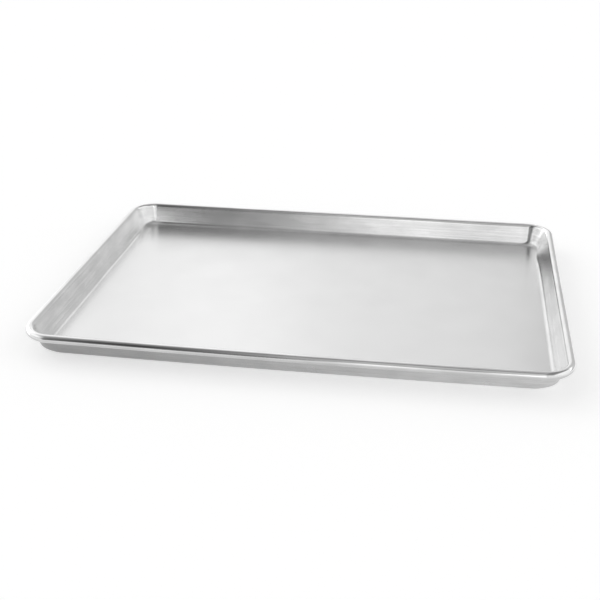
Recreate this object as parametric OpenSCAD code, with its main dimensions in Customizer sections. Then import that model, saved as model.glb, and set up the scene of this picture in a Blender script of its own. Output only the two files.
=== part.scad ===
// Jelly roll pan: a shallow tray drawn from one aluminium sheet, whose edge is
// rolled outwards round a steel wire that runs all the way round the rim.
// The pan stands on z = 0, centred, with its long side along X.

/* [Pan] */
// Length over the rolled rim
pan_length = 400; // [300:1:560]
// Width over the rolled rim
pan_width = 282; // [200:1:420]
// Height from the table to the top of the rim
pan_height = 19.5; // [15:0.5:40]
// Radius of the corners at the rim's outer edge, seen from above
rim_corner_r = 24.5; // [20:0.5:60]

/* [Sheet] */
// Thickness of the aluminium sheet
sheet_t = 1; // [0.6:0.1:1.6]
// Lean of the walls away from upright, in degrees
wall_lean = 14; // [5:1:28]
// Inside radius of the bend between the floor and the walls
floor_bend_r = 5; // [2:0.5:8]

/* [Rolled rim] */
// Diameter of the steel wire inside the rim
wire_d = 4.2; // [2.5:0.1:6]
// Play between the wire and the sheet curled round it
wire_play = 0.1; // [0.05:0.05:0.3]
// Gap between the curl's lip and the outside of the wall
lip_gap = 0.4; // [0.2:0.1:1]
// Gap where the two ends of the wire meet
wire_end_gap = 1; // [0.5:0.5:4]

/* [Hidden] */
$fn = 96;

// Outer radius of the bend, and the radii of the curl
bend_out_r = floor_bend_r + sheet_t;
curl_in_r = wire_d / 2 + wire_play;
curl_out_r = curl_in_r + sheet_t;

// From the middle of the bend to the middle of the curl: the distance across
// the wall, the rise, and the distance up the wall that gives that rise
bend_to_curl = floor_bend_r + curl_out_r;
curl_rise = pan_height - curl_out_r - bend_out_r;
wall_run = (curl_rise + bend_to_curl * sin(wall_lean)) / cos(wall_lean);

// How far in from the rim's outer edge the bend starts
bend_inset = curl_out_r + bend_to_curl * cos(wall_lean) + wall_run * sin(wall_lean);

// The corners turn about upright axes. Their place, and the reach of the flat
// floor beyond them
axis_x = pan_length / 2 - rim_corner_r;
axis_y = pan_width / 2 - rim_corner_r;
floor_reach = rim_corner_r - bend_inset;

// A section is drawn with X outwards from a corner's axis and Y upwards.
// This frame has its origin in the middle of the bend and Y up the wall.
module on_wall() {
    translate([floor_reach, bend_out_r]) rotate(-wall_lean) children();
}

// This one has its origin in the middle of the curl
module in_curl() {
    on_wall() translate([bend_to_curl, wall_run]) children();
}

// The sheet from the corner's axis out to the lip
module sheet_section() {
    join_snugly() {
        square([floor_reach, sheet_t]);
        bend_section();
        on_wall() translate([floor_bend_r, 0]) square([sheet_t, wall_run]);
        in_curl() curl_section();
    }
}

// Unites shapes that meet edge to edge. It does so at a thousandth of their
// size, where edges that differ only by rounding count as one.
module join_snugly() {
    scale(1000) for (i = [0:$children - 1]) scale(0.001) children(i);
}

// A ring's sector, from straight down round to square on the wall
module bend_section() {
    intersection() {
        translate([floor_reach, bend_out_r]) difference() {
            circle(bend_out_r);
            circle(floor_bend_r);
        }
        translate([floor_reach, -bend_out_r]) square(3 * bend_out_r);
        on_wall() translate([-2 * bend_out_r, -2 * bend_out_r])
            square([4 * bend_out_r, 2 * bend_out_r]);
    }
}

// The roll about the wire: a ring, open where its lip stops short of the wall
module curl_section() {
    difference() {
        circle(curl_out_r);
        circle(curl_in_r);
        translate([-2 * curl_out_r, -2 * curl_out_r])
            square([2 * curl_out_r - curl_in_r + lip_gap, 2 * curl_out_r]);
    }
}

// Carries a section round a quarter of the pan: half of two sides, and the
// corner between them
module round_a_quarter() {
    translate([axis_x, axis_y, 0]) rotate_extrude(angle = 90) children();
    translate([axis_x, axis_y, 0]) rotate([90, 0, 0]) linear_extrude(axis_y) children();
    translate([0, axis_y, 0]) rotate([90, 0, 90]) linear_extrude(axis_x) children();
}

// Repeats a quarter on all four
module all_quarters() {
    for (sx = [0, 1], sy = [0, 1])
        mirror([sx, 0, 0]) mirror([0, sy, 0]) children();
}

// The drawn pan: floor, bends, walls and rolled rim, all one sheet
module pan_sheet() {
    color("silver") all_quarters() {
        cube([axis_x, axis_y, sheet_t]);
        round_a_quarter() sheet_section();
    }
}

// The wire inside the rolled rim, one rod bent round, whose ends face each
// other in the middle of the back side
module rim_wire() {
    color("dimgray") difference() {
        all_quarters() round_a_quarter() in_curl() circle(d = wire_d);
        translate([-wire_end_gap / 2, axis_y, 0])
            cube([wire_end_gap, rim_corner_r, pan_height]);
    }
}

pan_sheet();
rim_wire();
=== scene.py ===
# %% [markdown]
# # A jelly roll pan
#
# The object is a shallow baking pan, drawn from one sheet of aluminium. Its
# edge is rolled outwards round a steel wire, so the rim is round and stiff and
# has no sharp edge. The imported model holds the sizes. This lesson makes the
# surfaces: the drawn sheet with its satin floor, its rubbed walls and its
# smooth rim, and then the plain studio round it.

import bpy
import numpy as np
from mathutils import Matrix, Vector


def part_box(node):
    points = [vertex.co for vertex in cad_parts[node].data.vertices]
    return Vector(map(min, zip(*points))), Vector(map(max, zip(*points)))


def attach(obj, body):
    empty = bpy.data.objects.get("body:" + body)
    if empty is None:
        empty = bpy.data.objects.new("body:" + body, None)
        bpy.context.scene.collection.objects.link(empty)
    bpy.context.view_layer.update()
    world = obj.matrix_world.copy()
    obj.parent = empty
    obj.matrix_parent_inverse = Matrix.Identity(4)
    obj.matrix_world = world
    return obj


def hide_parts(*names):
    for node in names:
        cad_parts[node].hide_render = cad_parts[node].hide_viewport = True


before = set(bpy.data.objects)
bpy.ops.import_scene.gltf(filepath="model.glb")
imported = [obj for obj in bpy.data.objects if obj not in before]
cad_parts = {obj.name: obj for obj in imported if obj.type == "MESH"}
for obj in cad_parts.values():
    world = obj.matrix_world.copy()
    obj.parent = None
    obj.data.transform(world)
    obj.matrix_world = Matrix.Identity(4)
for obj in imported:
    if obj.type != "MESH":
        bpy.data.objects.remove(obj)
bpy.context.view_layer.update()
print("nodes:", sorted(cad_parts))

# %% [markdown]
# ## The driving sizes
#
# The box of the sheet gives the length, the width and the height over the rim.
# The rest is how such a pan is made: how thick the sheet is, how far its walls
# lean, how tight its bends are. Everything is in metres.

# %% Name the driving sizes
MM = 0.001
HALF_LENGTH, HALF_WIDTH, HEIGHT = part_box("pan_sheet")[1]
HALF_SIZE = np.array([HALF_LENGTH, HALF_WIDTH])

SHEET = 1 * MM
WIRE_RADIUS = 2.1 * MM
WIRE_PLAY = 0.1 * MM
LIP_GAP = 0.4 * MM
WALL_LEAN = np.radians(14)
BEND_INSIDE = 3 * MM
BEND_OUTSIDE = 5 * MM
CURL_INSIDE = WIRE_RADIUS + WIRE_PLAY
CURL_OUTSIDE = CURL_INSIDE + SHEET
print("pan", [round(float(2 * v), 4) for v in HALF_SIZE], "height", round(HEIGHT, 4))

# %% [markdown]
# ## The section of the sheet
#
# Cut across a wall, the sheet is a line of flats and arcs: floor, bend, wall,
# and the curl about the wire. A section has its x outwards from the rim's
# outer edge, so it is negative on the pan, and its z upwards from the table.
# Two directions lean with the wall: one runs across it and one runs up it. The
# wall's two faces are as far from the curl's middle as the curl's two faces.
# Each face has a bend of its own, because the press stretches the sheet there
# and leaves it a little thinner than elsewhere.

# %% Place the curl and the bends
ACROSS = np.array([np.cos(WALL_LEAN), -np.sin(WALL_LEAN)])
UP_WALL = np.array([np.sin(WALL_LEAN), np.cos(WALL_LEAN)])
CURL_MIDDLE = np.array([-CURL_OUTSIDE, HEIGHT - CURL_OUTSIDE])


def bend_middle(radius, curl_radius, level):
    """The point a radius inside the wall's face that touches this circle, and a radius above a level."""
    start = CURL_MIDDLE - (curl_radius + radius) * ACROSS
    return start + (level + radius - start[1]) / UP_WALL[1] * UP_WALL


INSIDE_MIDDLE = bend_middle(BEND_INSIDE, CURL_OUTSIDE, SHEET)
OUTSIDE_MIDDLE = bend_middle(BEND_OUTSIDE, CURL_INSIDE, 0)
thinnest = BEND_OUTSIDE - BEND_INSIDE - np.linalg.norm(OUTSIDE_MIDDLE - INSIDE_MIDDLE)
print("bends start", round(-INSIDE_MIDDLE[0] / MM, 2), "and", round(-OUTSIDE_MIDDLE[0] / MM, 2),
      "mm in; the sheet between them is", round(thinnest / MM, 2), "mm at its thinnest")

# %% [markdown]
# Two small functions draw all of the section: an arc about a middle, and a
# straight up or down the wall. Angles are measured from outwards to upwards,
# and a lean of the wall turns them all the same way.


# %% Draw arcs and straights
def arc(middle, radius, start, end, steps):
    """The middle plus the radius times cosine and sine of an angle that runs evenly from start to end."""
    angle = np.linspace(start, end, steps + 1)[:, None]
    return middle + radius * np.hstack([np.cos(angle), np.sin(angle)])


def ease(t):
    """A smooth step from 0 to 1: three t squared less two t cubed."""
    t = np.clip(t, 0, 1)
    return t * t * (3 - 2 * t)


def straight(start, end, steps):
    """The start plus the eased share of the way to the end, so points lie closer together near both."""
    return start + (end - start) * ease(np.linspace(0, 1, steps + 1))[:, None]


print("eased shares of five steps:", np.round(ease(np.linspace(0, 1, 6)), 3).tolist())

# %% [markdown]
# The section runs along the inside of the tray, over the curl to its lip, and
# back along the other face. The lip stops a small gap short of the wall, so
# the angle at which each circle meets the lip follows from that gap.

# %% Draw the section
SQUARE_ON = -WALL_LEAN
DOWN = -np.pi / 2
LIP_X = LIP_GAP - CURL_INSIDE
BEND_STEPS = 16
WALL_STEPS = 10
CURL_STEPS = 60


def lip_angle(radius):
    """Where a circle meets the lip: minus the angle whose cosine is the lip's place over the radius."""
    return SQUARE_ON - np.arccos(LIP_X / radius)


inside_bend = arc(INSIDE_MIDDLE, BEND_INSIDE, DOWN, SQUARE_ON, BEND_STEPS)
curl_face = arc(CURL_MIDDLE, CURL_OUTSIDE, np.pi + SQUARE_ON, lip_angle(CURL_OUTSIDE), CURL_STEPS)
curl_back = arc(CURL_MIDDLE, CURL_INSIDE, lip_angle(CURL_INSIDE), np.pi + SQUARE_ON, CURL_STEPS // 2)
outside_bend = arc(OUTSIDE_MIDDLE, BEND_OUTSIDE, SQUARE_ON, DOWN, BEND_STEPS)
inside_wall = straight(inside_bend[-1], curl_face[0], WALL_STEPS)[1:-1]
outside_wall = straight(curl_back[-1], outside_bend[0], WALL_STEPS)[1:-1]

section = np.vstack([inside_bend, inside_wall, curl_face, curl_back, outside_wall, outside_bend])
print("section of", len(section), "points, lowest", round(section[:, 1].min() / MM, 3), "mm")

# %% [markdown]
# ## The way round the rim
#
# Seen from above, the pan is a rounded rectangle. A point of the way round is
# given by the corner it belongs to, as plus or minus one along x and y, and by
# the direction it faces. On a straight side the facing stays and the corner
# slides; on a corner the facing turns. The corners of a real drawn pan aren't
# quite concentric: near the floor they turn on a larger radius than the rim
# does, so the distance from a corner's turning point to the rim's edge changes
# along the section.

# %% Walk round the rim
CORNER_STEPS = 28
LONG_STEPS = 72
SHORT_STEPS = 52
CORNERS = np.array([[1, 1], [-1, 1], [-1, -1], [1, -1]])


def walk_round():
    """Four quarter turns, each followed by a straight side: the corner slides, or the facing turns."""
    corner, turn = [], []
    for quarter, steps in enumerate([LONG_STEPS, SHORT_STEPS, LONG_STEPS, SHORT_STEPS]):
        here, there = CORNERS[quarter], CORNERS[(quarter + 1) % 4]
        bend = np.linspace(0, 1, CORNER_STEPS + 1)[:, None]
        side = np.linspace(0, 1, steps + 1)[1:-1, None]
        corner += [here + 0 * bend, here + side * (there - here)]
        turn += [quarter + bend, quarter + 1 + 0 * side]
    facing = np.vstack(turn) * np.pi / 2
    return np.vstack(corner), np.hstack([np.cos(facing), np.sin(facing)])


CORNER, FACING = walk_round()
print("way round of", len(CORNER), "points")

# %% [markdown]
# A pressed pan departs a little from its drawing. The front side of this one
# bows outwards by two millimetres, and its rim sits slightly lower than the
# rest. Both are functions of the place in the pan, which can be laid over any
# points, and both fade out towards its middle.

# %% Bow and lower the front
FRONT_BOW = 2.2 * MM
FRONT_SAG = 0.6 * MM
SAG_POWER = 6


def bow_front(flat):
    """Draws the ends of the front side in: by the bow times the square of x's share, times y's share."""
    x, y = flat[..., 0], flat[..., 1]
    front = np.clip(-y / HALF_WIDTH, 0, None)
    return np.stack([x, y + FRONT_BOW * (x / HALF_LENGTH) ** 2 * front], axis=-1)


def sag_front(flat, level):
    """Each level less the sag's share of it, times a high power of how far forward the point lies."""
    forward = np.clip(-flat[..., 1] / HALF_WIDTH, 0, 1)
    return level * (1 - FRONT_SAG / HEIGHT * forward ** SAG_POWER)


middle_of_front = np.array([0, -HALF_WIDTH])
print("front rim", round(float(sag_front(middle_of_front, HEIGHT)) / MM, 2), "mm high")

# %% [markdown]
# Carrying the section round is then one line of arithmetic on whole arrays:
# the turning point of the corner, plus the facing times what is left. The short
# walls lean a little more than the long ones, so their foot is drawn in on the
# way.

# %% Carry a section round
WALL_TURN = 22.5 * MM
FLOOR_TURN = 30 * MM
TURN_RISE = 5 * MM
END_DRAW = 2 * MM


def turning(points):
    """How far the corner's turning point lies from the rim's edge: more for the floor than the wall."""
    return FLOOR_TURN + (WALL_TURN - FLOOR_TURN) * ease(points[:, 1] / TURN_RISE)


def carry_round(points):
    """Corner times what the turning point leaves of the half size, plus facing times the rest."""
    turn = turning(points)[:, None, None]
    outwards, level = points[:, 0, None, None], points[:, 1, None]
    drawn = np.array([END_DRAW, 0]) * np.clip(1 - level[..., None] / CURL_MIDDLE[1], 0, 1)
    flat = bow_front(CORNER * (HALF_SIZE - turn) + FACING * (turn + outwards - drawn))
    return np.dstack([flat, sag_front(flat, level)])


rings = carry_round(section)
print("rings", rings.shape)

# %% [markdown]
# The floor is the first ring drawn in towards the middle, and the underside is
# the last ring drawn in the same way, so the sheet closes at two points. A
# narrow step comes first, so that the smooth shading of the bend doesn't spread
# over the flat.

# %% Add the floor and the underside
FLOOR_STEPS = 16
FIRST_SHARE = 0.998
SHARES = np.concatenate([[FIRST_SHARE], np.linspace(1, 0, FLOOR_STEPS + 1)[1:-1]])


def draw_in(ring):
    """The ring times each of the shares, at one level."""
    flat = ring[None, :, :2] * SHARES[:, None, None]
    level = np.broadcast_to(ring[None, :, 2:], flat.shape[:2] + (1,))
    return np.concatenate([flat, level], axis=2)


rings = np.concatenate([draw_in(rings[0])[::-1], rings, draw_in(rings[-1])])
print("rings with floor and underside", rings.shape)

# %% [markdown]
# The finish of the metal changes along the section: satin on the floor, rubbed
# on the walls, smooth on the bead. It also runs in lines round the pan, because
# the draw die and the rolling tool both slid that way. So each point keeps a
# vector that says where it is: two numbers on a circle for the way round, which
# has no seam, and the length along the section for the third.


# %% Measure the way round and the length along
def length_round():
    """The length walked along the rim's outer edge up to each of its points, and the whole of it."""
    edge = carry_round(np.zeros((1, 2)))[0, :, :2]
    steps = np.linalg.norm(np.roll(edge, -1, axis=0) - edge, axis=1)
    return np.concatenate([[0], np.cumsum(steps)[:-1]]), steps.sum()


def length_along():
    """The length along the section from the floor's edge on: negative on the floor, greatest underneath."""
    steps = np.linalg.norm(np.diff(section, axis=0), axis=1)
    along = np.concatenate([[0], np.cumsum(steps)])
    floor = HALF_WIDTH * (SHARES[::-1] - 1)
    return np.concatenate([floor, along, along[-1] - floor[::-1]])


walked, RIM_LENGTH = length_round()
along = length_along()
CURL_STARTS = along[len(SHARES) + BEND_STEPS + WALL_STEPS]
BEAD_FRONT = CURL_STARTS + (np.pi + SQUARE_ON) * CURL_OUTSIDE
LIP_AT = along[len(SHARES) + BEND_STEPS + WALL_STEPS + CURL_STEPS]
UNDERSIDE_STARTS = along[len(SHARES) + len(section) - 1]
print("rim", round(RIM_LENGTH, 3), "m round")
print("curl from", round(CURL_STARTS / MM, 2), "to", round(LIP_AT / MM, 2), "mm along the section")

# %% [markdown]
# ## From rings to a solid
#
# Each ring has as many points as the next, so the faces between them are a
# plain grid that joins up after the last point. A ring can also be closed with
# a fan of triangles to a point in its middle, its pole.


# %% Join rings into faces
def ring_faces(ring_count, ring_size):
    """Quads between each ring and the next, whose corners are numbered ring by ring."""
    ring, step = np.meshgrid(np.arange(ring_count - 1), np.arange(ring_size), indexing="ij")
    after = (step + 1) % ring_size
    near, far = ring * ring_size, (ring + 1) * ring_size
    return np.stack([near + step, far + step, far + after, near + after], axis=2).reshape(-1, 4)


def fan(ring_start, ring_size, pole):
    """Triangles from each step of a ring to one pole."""
    step = np.arange(ring_size)
    after = (step + 1) % ring_size
    return np.stack([ring_start + step, ring_start + after, np.full(ring_size, pole)], axis=1)


print("two rings of three points give", ring_faces(2, 3).tolist(), "and a fan", fan(0, 3, 6).tolist())

# %% [markdown]
# A closed mesh is the grid and a fan at each end. The fans face opposite ways,
# because one end of the rings is the tray's floor and the other its underside.
# Only the lip's edges and the wire's ends are sharp, and the angle between two
# faces finds them.

# %% Close the sheet
SHARP_ANGLE = np.radians(35)


def closed_mesh(name, grid):
    """A mesh of the rings' points and two poles, the middles of the first ring and of the last."""
    count, size = grid.shape[:2]
    points = np.vstack([grid.reshape(-1, 3), grid[0].mean(axis=0), grid[-1].mean(axis=0)])
    faces = ring_faces(count, size).tolist()
    faces += fan(0, size, count * size).tolist()
    faces += fan((count - 1) * size, size, count * size + 1)[:, ::-1].tolist()
    mesh = bpy.data.meshes.new(name)
    mesh.from_pydata(points.tolist(), [], faces)
    mesh.set_sharp_from_angle(angle=SHARP_ANGLE)
    return mesh


sheet_mesh = closed_mesh("drawn_sheet", rings)
print("sheet of", len(sheet_mesh.vertices), "points and", len(sheet_mesh.polygons), "faces")

# %% [markdown]
# The volume inside a closed surface is a good test of it: it comes out right
# only where nothing is missing and every face points outwards. The real sheet's
# volume is close to its area times one millimetre.


# %% Measure the volume
def inner_volume(mesh):
    """A sixth of the sum of each triangle's triple product: positive where the faces point outwards."""
    mesh.calc_loop_triangles()
    corners = np.empty(len(mesh.loop_triangles) * 3, dtype=np.int32)
    mesh.loop_triangles.foreach_get("vertices", corners)
    points = np.empty(len(mesh.vertices) * 3)
    mesh.vertices.foreach_get("co", points)
    a, b, c = points.reshape(-1, 3)[corners.reshape(-1, 3)].transpose(1, 0, 2)
    return np.einsum("ij,ij->i", a, np.cross(b, c)).sum() / 6


print("sheet of", round(inner_volume(sheet_mesh) / MM ** 3), "mm3")

# %% [markdown]
# The vector of the way round goes into the mesh as an attribute, one for each
# point. Its circle is as long as the rim, so patterns keep their scale.

# %% Mark the way round on the sheet
turn = walked / RIM_LENGTH * 2 * np.pi
circle = RIM_LENGTH / (2 * np.pi) * np.stack([np.cos(turn), np.sin(turn)], axis=1)
way = np.concatenate([np.broadcast_to(circle, (len(along),) + circle.shape),
                      np.broadcast_to(along[:, None, None], (len(along), len(circle), 1))], axis=2)
poles = np.array([[0, 0, -HALF_WIDTH], [0, 0, along[-1] + HALF_WIDTH]])
marks = sheet_mesh.attributes.new("way_round", "FLOAT_VECTOR", "POINT")
marks.data.foreach_set("vector", np.vstack([way.reshape(-1, 3), poles]).ravel())
print("marks on", len(marks.data), "points")

# %% [markdown]
# A finished mesh becomes an object that stands for its node of the packed
# model and rides on the model's body.


# %% Place the sheet
def place(name, mesh, node):
    """Links a finished mesh as an object that stands for a node of the packed model, and hides that node.
    """
    piece = bpy.data.objects.new(name, mesh)
    bpy.context.scene.collection.objects.link(piece)
    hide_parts(node)
    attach(piece, "root")
    volume = round(inner_volume(mesh) / MM ** 3)
    print(name, "holds", volume, "mm3 in", len(mesh.loop_triangles), "triangles")
    return piece


drawn_sheet = place("drawn_sheet", sheet_mesh, "pan_sheet")

# %% [markdown]
# ## The wire
#
# One steel rod lies inside the curl and can be seen only from below, through
# the gap at the lip. It is a circle carried the same way round, cut open at the
# middle of the back side, where the two ends of the rod meet.

# %% Make the wire
WIRE_SIDES = 24
WIRE_END_GAP = 1 * MM

rod = carry_round(arc(CURL_MIDDLE, WIRE_RADIUS, 0, 2 * np.pi, WIRE_SIDES)[:-1])
back_middle = np.argmin(np.hypot(rod[0, :, 0], rod[0, :, 1] - HALF_WIDTH))
rod = np.roll(rod, -back_middle, axis=1)
rod = np.concatenate([rod, rod[:, :1]], axis=1)
rod[:, 0, 0] -= WIRE_END_GAP / 2
rod[:, -1, 0] += WIRE_END_GAP / 2

wire_mesh = closed_mesh("rim_wire_rod", rod.transpose(1, 0, 2))
rim_wire_rod = place("rim_wire_rod", wire_mesh, "rim_wire")

# %% [markdown]
# ## The aluminium
#
# The sheet comes from the rolling mill with a fine grain along its length, and
# keeps it on the floor and under it, where the press does little. The die drags
# the walls as it draws them, so they carry lines and rubbed patches that run
# round the pan. The rolling tool leaves the bead smoothest of all, and the
# outside, which slid in the die, is the roughest; its darker colour is painted
# shade, set further down. A material is a graph of nodes, so the first helpers
# start one and add a node with its inputs filled.


# %% Start a material
def new_material(name):
    """An empty material: itself, its tree and its shader."""
    material = bpy.data.materials.new(name)
    material.use_nodes = True
    return material, material.node_tree, material.node_tree.nodes["Principled BSDF"]


def add(tree, kind, inputs=(), **settings):
    """Adds a node, sets what it is told, and fills its inputs with values or other nodes' outputs."""
    made = tree.nodes.new("ShaderNode" + kind)
    for name, value in settings.items():
        setattr(made, name, value)
    for key, value in dict(inputs).items():
        if isinstance(value, bpy.types.NodeSocket):
            tree.links.new(value, made.inputs[key])
        else:
            made.inputs[key].default_value = value
    return made


aluminium, tree, shader = new_material("drawn aluminium")
way_round = add(tree, "Attribute", attribute_name="way_round").outputs["Vector"]
place_on_pan = add(tree, "TexCoord").outputs["Object"]
print(aluminium.name, "starts with", len(tree.nodes), "nodes")

# %% [markdown]
# The finish differs from part to part, so each part gets a share: a number that
# is one on its own stretch of the section and fades to nothing beyond it. The
# underside is past the end of the section and counts as floor again.

# %% Tell the parts of the sheet apart
FADE = 2 * MM


def maths(tree, operation, *values):
    """One step of arithmetic on numbers or outputs."""
    return add(tree, "Math", enumerate(values), operation=operation).outputs[0]


def smooth_step(tree, value, start, end, low=0.0, high=1.0):
    """Goes smoothly from low to high while a value goes from start to end."""
    settings = {"Value": value, "From Min": start, "From Max": end, "To Min": low, "To Max": high}
    return add(tree, "MapRange", settings, interpolation_type="SMOOTHSTEP").outputs["Result"]


section_place = add(tree, "SeparateXYZ", {"Vector": way_round}).outputs["Z"]
past_floor = smooth_step(tree, section_place, -FADE, FADE)
underneath = smooth_step(tree, section_place, UNDERSIDE_STARTS - FADE, UNDERSIDE_STARTS + FADE)
on_wall = maths(tree, "SUBTRACT", past_floor, underneath)
on_floor = maths(tree, "SUBTRACT", 1.0, on_wall)
on_bead = smooth_step(tree, section_place, CURL_STARTS - FADE / 2, CURL_STARTS + FADE / 2)
on_outside = smooth_step(tree, section_place, LIP_AT, LIP_AT + 2 * FADE)
part_ends = np.array([CURL_STARTS, LIP_AT, UNDERSIDE_STARTS])
print("wall, bead and outside end at", np.round(part_ends / MM, 1).tolist(), "mm along the section")

# %% [markdown]
# The patterns are noise, stretched the way the metal slid. A stretch says how
# many lumps a metre holds along x, y and z. The floor's grain has many across
# and few along. On the way round, z is the length along the section, so many in
# z and few in x and y make lines round the pan.

# %% Draw the patterns
FINE = 3.0
ROLLING_GRAIN = (40, 900, 40)
DIE_LINES = (12, 12, 900)
DIE_BANDS = (5, 5, 220)
STREAKS = (14, 14, 1100)
PATCHES = (45, 45, 110)
CLOUDS = (28, 28, 60)


def noise(tree, vector, stretch, detail=2.0):
    """Noise on coordinates that are stretched: each number is how many lumps a metre holds that way."""
    mapped = add(tree, "Mapping", {"Vector": vector, "Scale": stretch})
    return add(tree, "TexNoise", {"Vector": mapped.outputs[0], "Scale": 1.0, "Detail": detail}).outputs[0]


rolling_grain = noise(tree, place_on_pan, ROLLING_GRAIN, FINE)
die_lines = noise(tree, way_round, DIE_LINES, FINE)
die_bands = noise(tree, way_round, DIE_BANDS)
streaks = noise(tree, way_round, STREAKS)
patches = noise(tree, way_round, PATCHES)
clouds = noise(tree, place_on_pan, CLOUDS)
print("streaks", round(1 / MM / STREAKS[2], 1), "mm wide, bands", round(1 / MM / DIE_BANDS[2], 1), "mm")

# %% [markdown]
# Grain, lines and bands lift the surface by about a hundredth of a millimetre at
# most, which is enough to break up a mirror. The rolled rim is polished by its
# tool, so the lines nearly vanish from there on.

# %% Raise the grain and the lines
GRAIN_SHARE = 0.3
BAND_SHARE = 3.0
BEAD_POLISH = 0.8
BUMP_DEPTH = 0.003 * MM

floor_height = maths(tree, "MULTIPLY", rolling_grain, maths(tree, "MULTIPLY", on_floor, GRAIN_SHARE))
wall_height = maths(tree, "ADD", die_lines, maths(tree, "MULTIPLY", die_bands, BAND_SHARE))
unpolished = maths(tree, "SUBTRACT", 1.0, maths(tree, "MULTIPLY", on_bead, BEAD_POLISH))
line_height = maths(tree, "MULTIPLY", wall_height, maths(tree, "MULTIPLY", on_wall, unpolished))
height = maths(tree, "ADD", floor_height, line_height)
bump = add(tree, "Bump", {"Height": height, "Distance": BUMP_DEPTH, "Strength": 1.0})
tree.links.new(bump.outputs[0], shader.inputs["Normal"])
print("highest bumps, in mm:", round(BUMP_DEPTH * (1 + BAND_SHARE) / MM, 4))

# %% [markdown]
# Roughness goes from part to part in the same way, and clouds of it drift over
# the whole sheet where hands and cloths have been.

# %% Set how rough each part is
FLOOR_ROUGH = 0.21
WALL_ROUGH = 0.24
BEAD_ROUGH = 0.12
OUTSIDE_ROUGH = 0.26
CLOUD_DEPTH = 0.08


def blend(tree, first, second, share):
    """The first plus a share of the way to the second."""
    gap = maths(tree, "SUBTRACT", second, first)
    return maths(tree, "ADD", first, maths(tree, "MULTIPLY", gap, share))


rough = blend(tree, FLOOR_ROUGH, WALL_ROUGH, on_wall)
rough = blend(tree, rough, BEAD_ROUGH, on_bead)
rough = blend(tree, rough, OUTSIDE_ROUGH, on_outside)
cloudy = maths(tree, "MULTIPLY", maths(tree, "SUBTRACT", clouds, 0.5), CLOUD_DEPTH)
tree.links.new(maths(tree, "ADD", rough, cloudy), shader.inputs["Roughness"])
print("roughness from", BEAD_ROUGH, "on the bead to", OUTSIDE_ROUGH, "outside")

# %% [markdown]
# The shade is how much light the metal gives back. The tray's inside is clean
# and bright. From the front of the bead on, the colour holds painted shade: it
# is darker, to stand in for the shaded surroundings in front of the pan that
# the bead's lower half and the outside reflect. Those surroundings are darker
# at the front left, so the outside's painted shade is darker at the left end
# than at the right.

# %% Set how bright each part is
INSIDE_SHADE = 0.88
# Painted shade: the bead from its front on is darker, for the shaded surroundings it reflects.
BEAD_PAINTED_SHADE = 0.62
# Painted shade on the outside, darker at the left end than at the right.
OUTSIDE_PAINTED_SHADE_LEFT = 0.38
OUTSIDE_PAINTED_SHADE_RIGHT = 0.63

sideways = add(tree, "SeparateXYZ", {"Vector": place_on_pan}).outputs["X"]
painted_shade_ends = (-HALF_LENGTH, HALF_LENGTH, OUTSIDE_PAINTED_SHADE_LEFT, OUTSIDE_PAINTED_SHADE_RIGHT)
# The outside's painted shade, going from the left end to the right.
outside_painted_shade = smooth_step(tree, sideways, *painted_shade_ends)
# Painted shade from the front of the bead on, then the outside's painted shade.
shade = smooth_step(tree, section_place, BEAD_FRONT - FADE, BEAD_FRONT, INSIDE_SHADE, BEAD_PAINTED_SHADE)
shade = blend(tree, shade, outside_painted_shade, on_outside)
print("shade", INSIDE_SHADE, "inside,", BEAD_PAINTED_SHADE, "on the bead")

# %% [markdown]
# Streaks, patches and grain vary the shade a little. Each swings it about its
# own middle value, so the part keeps its brightness on the whole.

# %% Vary the shade
STREAK_DEPTH = 0.28
PATCH_DEPTH = 0.3
GRAIN_DEPTH = 0.05


def swing(tree, pattern, depth, share):
    """One, less the pattern's swing about a half, times a depth and a share."""
    swung = maths(tree, "MULTIPLY", maths(tree, "SUBTRACT", pattern, 0.5), depth)
    return maths(tree, "SUBTRACT", 1.0, maths(tree, "MULTIPLY", swung, share))


shade = maths(tree, "MULTIPLY", shade, swing(tree, streaks, STREAK_DEPTH, on_wall))
shade = maths(tree, "MULTIPLY", shade, swing(tree, patches, PATCH_DEPTH, on_wall))
shade = maths(tree, "MULTIPLY", shade, swing(tree, rolling_grain, GRAIN_DEPTH, on_floor))
tree.links.new(shade, shader.inputs["Base Color"])
shader.inputs["Metallic"].default_value = 1
print("streaks swing the shade by", STREAK_DEPTH / 2, "at most, each way")

# %% [markdown]
# Lines that all run one way smear a reflection across themselves and leave it
# sharp along them. The shader needs the direction across the lines. The lines
# run level round the pan, so their direction is at right angles to both the
# surface's normal and the upright, and the direction across them follows from
# that. The upright is tipped a hair, so that it also gives the floor's grain.

# %% Smear reflections across the lines
UPRIGHT = (0, 0.01, 1)
ANISOTROPY = 0.85

normal = add(tree, "NewGeometry").outputs["Normal"]
along_lines = add(tree, "VectorMath", {0: normal, 1: UPRIGHT}, operation="CROSS_PRODUCT").outputs[0]
across_lines = add(tree, "VectorMath", {0: along_lines, 1: normal}, operation="CROSS_PRODUCT").outputs[0]
tree.links.new(across_lines, shader.inputs["Tangent"])
shader.inputs["Anisotropic"].default_value = ANISOTROPY
drawn_sheet.data.materials.append(aluminium)
print(aluminium.name, "has", len(tree.nodes), "nodes")

# %% [markdown]
# ## The galvanised steel
#
# The wire has a coat of zinc, which sets in small crystals. Each crystal is a
# cell of a cellular pattern and has a shade and a roughness of its own: the
# brighter ones are the smoother ones. Handling has dulled the coat in places.

# %% Make the galvanised steel
CRYSTALS_PER_METRE = 900.0
CRYSTAL_ROUGH, SMOOTH_CRYSTAL_ROUGH = 0.5, 0.3
CRYSTAL_SHADE, SMOOTH_CRYSTAL_SHADE = 0.52, 0.68
DULL_SHADE = 0.42
DULL_SHARE = 0.5
DULL_PLACES = (60, 60, 60)

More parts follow.
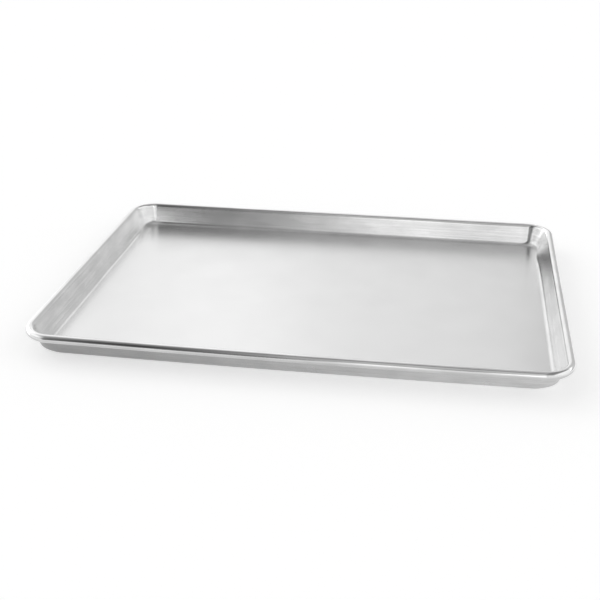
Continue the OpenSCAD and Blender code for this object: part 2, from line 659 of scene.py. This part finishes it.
zinc, tree, shader = new_material("galvanised steel")
place_on_wire = add(tree, "TexCoord").outputs["Object"]
crystals = add(tree, "TexVoronoi", {"Vector": place_on_wire, "Scale": CRYSTALS_PER_METRE}).outputs["Color"]
crystal_rough = smooth_step(tree, crystals, 0.0, 1.0, CRYSTAL_ROUGH, SMOOTH_CRYSTAL_ROUGH)
crystal_shade = smooth_step(tree, crystals, 0.0, 1.0, CRYSTAL_SHADE, SMOOTH_CRYSTAL_SHADE)
dulled = maths(tree, "MULTIPLY", noise(tree, place_on_wire, DULL_PLACES), DULL_SHARE)
tree.links.new(crystal_rough, shader.inputs["Roughness"])
tree.links.new(blend(tree, crystal_shade, DULL_SHADE, dulled), shader.inputs["Base Color"])
shader.inputs["Metallic"].default_value = 1
rim_wire_rod.data.materials.append(zinc)
print(zinc.name, "has", len(tree.nodes), "nodes, crystals of", round(1 / MM / CRYSTALS_PER_METRE, 1), "mm")

# %% [markdown]
# ## The camera
#
# The camera stands in front of the pan, a little to its right, and looks down
# at it from about 26 degrees. Its angles and its distance were found by fitting
# a pinhole camera to the pan's outline in the photo. Turning the three angles
# into directions gives the way it looks, and its own right and up.

# %% Turn the camera's angles into directions
CAMERA_YAW = np.radians(-7.7544)
CAMERA_PITCH = np.radians(26.223)
CAMERA_ROLL = np.radians(0.4037)

ahead = np.array([np.sin(CAMERA_YAW), np.cos(CAMERA_YAW), 0])
looking = np.cos(CAMERA_PITCH) * ahead - np.sin(CAMERA_PITCH) * np.array([0, 0, 1])
level_right = np.cross(ahead, [0, 0, 1])
level_up = np.cross(level_right, looking)
right = np.cos(CAMERA_ROLL) * level_right + np.sin(CAMERA_ROLL) * level_up
up = np.cross(right, looking)
print("camera looks along", [round(float(v), 3) for v in looking])

# %% [markdown]
# The camera stands back from the point that it aims at, against the way it
# looks. Its matrix has right, up and backwards as columns, because a camera in
# Blender looks down its own minus z. The small shift slides the frame, since
# the fit found the middle of the photo a little beside where its camera aimed.

# %% Stand the camera
CAMERA_DISTANCE = 0.79754
CAMERA_AIM = np.array([11.59, 0, -5.496]) * MM
LENS = 57.145
SHIFT_X = -0.0508
SHIFT_Y = 0.0008

camera = bpy.data.objects.new("camera", bpy.data.cameras.new("camera"))
bpy.context.scene.collection.objects.link(camera)
turned = Matrix([right, up, -looking]).transposed().to_4x4()
camera.matrix_world = Matrix.Translation(Vector(CAMERA_AIM - looking * CAMERA_DISTANCE)) @ turned
camera.data.lens = LENS
camera.data.shift_x = SHIFT_X
camera.data.shift_y = SHIFT_Y
bpy.context.scene.camera = camera
print("camera at", [round(float(v), 3) for v in camera.location])

# %% [markdown]
# ## The floor
#
# The pan stands on a wide, plain sheet of white paper. It isn't part of the
# object.

# %% Lay the floor
FLOOR_REACH = 12

floor_mesh = bpy.data.meshes.new("studio_floor")
floor_corners = np.column_stack([CORNERS * FLOOR_REACH, np.zeros(len(CORNERS))])
floor_mesh.from_pydata(floor_corners.tolist(), [], [range(len(CORNERS))])
studio_floor = bpy.data.objects.new("studio_floor", floor_mesh)
bpy.context.scene.collection.objects.link(studio_floor)
print("floor of", [round(v) for v in studio_floor.dimensions], "m")

# %% [markdown]
# The paper takes light and shadow like any matt surface, and where it is seen,
# straight or in a reflection, it also glows, as if it were lit from behind. So
# the ground comes out white without more light on the pan, and the pan's shadow
# stays on it as a pale tint. From below the paper is clear.

# %% Make the paper
FLOOR_COLOUR = (0.7, 0.7, 0.7, 1)
FLOOR_GLOW = 0.52

paper = bpy.data.materials.new("white paper")
paper.use_nodes = True
tree = paper.node_tree
tree.nodes.clear()
ray = add(tree, "LightPath").outputs
mirrored = maths(tree, "MAXIMUM", ray["Is Glossy Ray"], ray["Is Transmission Ray"])
seen = maths(tree, "MAXIMUM", ray["Is Camera Ray"], mirrored)
lit = add(tree, "BsdfDiffuse", {"Color": FLOOR_COLOUR})
glow = add(tree, "Emission", {"Strength": maths(tree, "MULTIPLY", seen, FLOOR_GLOW)})
both = add(tree, "AddShader", enumerate([lit.outputs[0], glow.outputs[0]]))
from_below = add(tree, "NewGeometry").outputs["Backfacing"]
clear = add(tree, "BsdfTransparent")
surface = add(tree, "MixShader", enumerate([from_below, both.outputs[0], clear.outputs[0]]))
add(tree, "OutputMaterial", {"Surface": surface.outputs[0]})
floor_mesh.materials.append(paper)
print(paper.name, "has", len(tree.nodes), "nodes")

# %% [markdown]
# ## The light
#
# Bright metal has hardly any colour of its own: it shows what stands round it.
# So the studio is a world of soft white panels with dark gaps between them, as
# a photographer of pans would hang them. The pan's long side runs along x, so
# each panel has its place in x and in tilt, which goes from nothing at the back
# horizon, over the top, to 180 degrees at the front.

# %% Measure directions
studio = bpy.data.worlds.new("studio")
bpy.context.scene.world = studio
studio.use_nodes = True
tree = studio.node_tree
tree.nodes.clear()
direction = add(tree, "SeparateXYZ", {"Vector": add(tree, "TexCoord").outputs["Generated"]}).outputs
x_squared = maths(tree, "MULTIPLY", direction["X"], direction["X"])
off_axis = maths(tree, "SQRT", maths(tree, "SUBTRACT", 1.0, x_squared))
tilt = maths(tree, "DEGREES", maths(tree, "ARCCOSINE", maths(tree, "DIVIDE", direction["Y"], off_axis)))
print("directions measured in", len(tree.nodes), "nodes")

# %% [markdown]
# A panel is a strength times four smooth steps, one over each of its edges. An
# edge at one of the named ends lies past the last direction, so it isn't seen.

# %% Shape a panel
LEFT_END, RIGHT_END, BACK, FRONT = -2, 2, -30, 210


def panel(strength, left, right, back, front, soft=(0.08, 0.08, 5)):
    """Light between two values of x and two tilts, soft at its left, its right and its tilted edges."""
    starts = smooth_step(tree, direction["X"], left - soft[0], left + soft[0])
    ends = smooth_step(tree, direction["X"], right - soft[1], right + soft[1], 1, 0)
    rises = smooth_step(tree, tilt, back - soft[2], back + soft[2])
    falls = smooth_step(tree, tilt, front - soft[2], front + soft[2], 1, 0)
    across = maths(tree, "MULTIPLY", starts, ends)
    over = maths(tree, "MULTIPLY", rises, falls)
    return maths(tree, "MULTIPLY", maths(tree, "MULTIPLY", across, over), strength)


print("a panel can reach from x", LEFT_END, "to", RIGHT_END, "and from tilt", BACK, "to", FRONT)

# %% [markdown]
# In the photo's view, the tray's floor shows the low panels at the back. Panels
# add up, so a faint one that lies over another makes a part of it brighter.
# Here and in the next two cells, each panel was moved and dimmed until its
# reflection fell where the photo has it.

# %% Hang the back panels
back_panels = [
    panel(1.5, LEFT_END, -0.52, BACK, 55, (0.1, 0.07, 5)),
    panel(0.97, -0.5, -0.01, BACK, 62, (0.07, 0.23, 10)),
    panel(0.08, -0.3, -0.01, BACK, 62, (0.05, 0.23, 10)),
    panel(0.53, -0.02, RIGHT_END, BACK, 51, (0.15, 0.1, 4)),
    panel(0.07, -0.02, 0.09, BACK, 51, (0.15, 0.03, 4)),
    panel(0.05, 0.3, RIGHT_END, BACK, 51),
]
print("back panels:", len(back_panels))

# %% [markdown]
# The bead is round, so it shows every panel, from the back over the top to the
# front, squeezed into a few bright and dark lines. Where it turns a corner, the
# panels beside the pan come into it as well.

# %% Hang the overhead panels
overhead_panels = [
    panel(1.05, LEFT_END, -0.54, 28, 153, (0.1, 0.2, 6)),
    panel(0.6, -0.5, 0.18, 62, 82, (0.1, 0.05, 10)),
    panel(0.22, -0.5, 0.18, 82, 116, (0.1, 0.05, 12)),
    panel(0.25, 0.18, 0.55, 55, 130, (0.05, 0.08, 8)),
    panel(0.95, 0.54, RIGHT_END, 42, 132, (0.1, 0.1, 8)),
]
print("overhead panels:", len(overhead_panels))

# %% [markdown]
# The tray's back wall faces the front, and shows the low panels there. It is
# flat from end to end, so it shows them as wide patches with soft edges.

# %% Hang the front panels
front_panels = [
    panel(0.34, -0.18, 0.18, 104, 150, (0.1, 0.05, 10)),
    panel(0.15, -0.28, 0.18, 122, FRONT, (0.05, 0.05, 10)),
    panel(0.05, -0.5, -0.2, 116, FRONT, (0.05, 0.08, 10)),
    panel(0.76, -0.13, 0.12, 160, FRONT, (0.1, 0.08, 6)),
    panel(0.5, -0.11, -0.01, 150, FRONT, (0.05, 0.03, 8)),
    panel(0.45, 0.12, 0.22, 130, FRONT, (0.06, 0.05, 12)),
    panel(0.9, 0.09, 0.22, 155, FRONT, (0.04, 0.12, 8)),
    panel(0.5, 0.18, RIGHT_END, 130, FRONT, (0.06, 0.05, 12)),
    panel(0.4, 0.27, RIGHT_END, 130, FRONT, (0.06, 0.05, 12)),
    panel(1.2, LEFT_END, -0.58, 164, FRONT, (0.1, 0.06, 6)),
    panel(0.12, -0.6, -0.3, 160, FRONT, (0.05, 0.05, 6)),
]
print("front panels:", len(front_panels))

# %% [markdown]
# The world is the sum of the panels. Where the camera looks past the floor's
# far edge, or through something clear, it sees plain white, wherever it stands.
# The metal keeps seeing the panels, because its bright and dark lines are made
# of them, and below them it sees the same white floor as the camera does.

# %% Light the world
WHITE = 1.0

total = 0.0
for each in back_panels + overhead_panels + front_panels:
    total = maths(tree, "ADD", total, each)
ray = add(tree, "LightPath").outputs
seen = maths(tree, "MAXIMUM", ray["Is Camera Ray"], ray["Is Transmission Ray"])
strength = blend(tree, total, WHITE, seen)
background = add(tree, "Background", {"Color": (1, 1, 1, 1), "Strength": strength})
add(tree, "OutputWorld", {"Surface": background.outputs[0]})
bpy.context.scene.view_settings.view_transform = "Standard"
print("world of", len(tree.nodes), "nodes")
